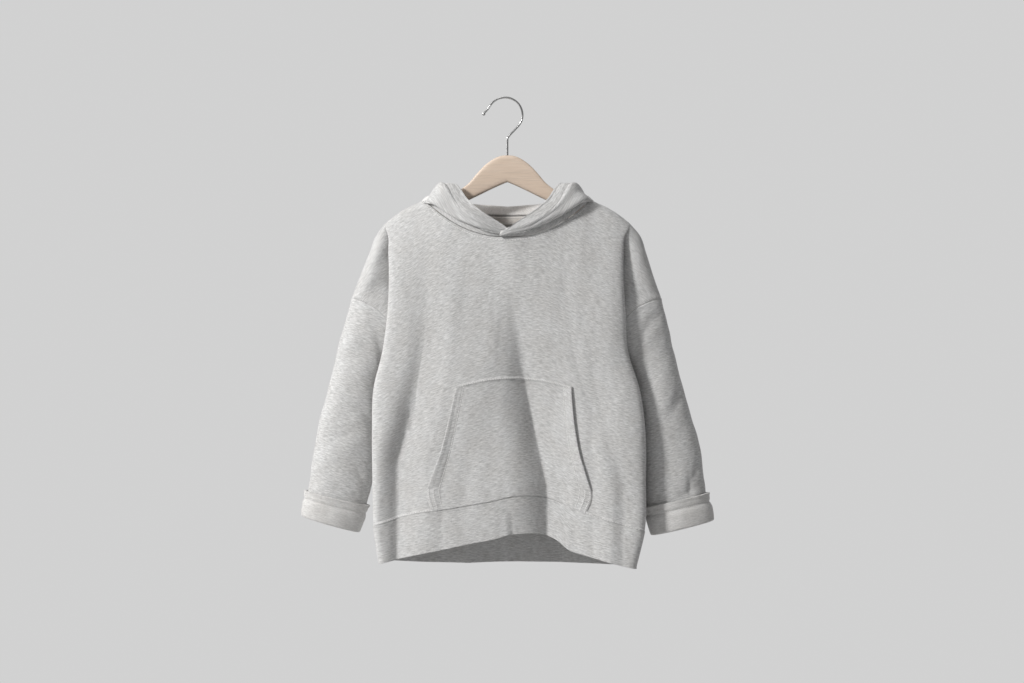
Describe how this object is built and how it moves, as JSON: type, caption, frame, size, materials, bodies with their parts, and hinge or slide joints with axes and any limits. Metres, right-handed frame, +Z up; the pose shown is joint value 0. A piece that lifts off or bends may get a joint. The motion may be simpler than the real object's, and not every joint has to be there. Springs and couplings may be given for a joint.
{
  "type": "toddler hoodie on a clothes hanger",
  "caption": "Hooded toddler sweatshirt with a kangaroo pocket and turned-up cuffs, hanging on a flat wooden hanger by its steel hook.",
  "frame": {"origin": "seat of the hanger's hook: the underside of its crown, where it rests on a peg", "axes": "+Z up; -Y out of the garment's front; +X to the viewer's right when the front is looked at"},
  "size_m": [0.4665, 0.1506, 0.5362],
  "materials": {
    "fleece_face": "light heather grey sweatshirt jersey, soft and matt, with short wavy melange streaks",
    "fleece_reverse": "warmer, looped and slightly brushed reverse side of the same fleece",
    "neck_tape": "narrow twill tape, matt",
    "hanger_wood": "pale sanded wood under a satin lacquer",
    "hook_steel": "polished steel wire"
  },
  "bodies": {
    "root": {"front": "fleece_face", "back": "fleece_face", "sleeve_left": "fleece_face", "sleeve_right": "fleece_face", "hem_band_front": "fleece_face", "hem_band_back": "fleece_face", "hood_left": "fleece_face", "hood_right": "fleece_face", "pocket": "fleece_face", "cuff_left": "fleece_reverse", "cuff_right": "fleece_reverse", "neck_tape": "neck_tape", "hanger_body": "hanger_wood", "hanger_hook": "hook_steel"}
  },
  "joints": []
}
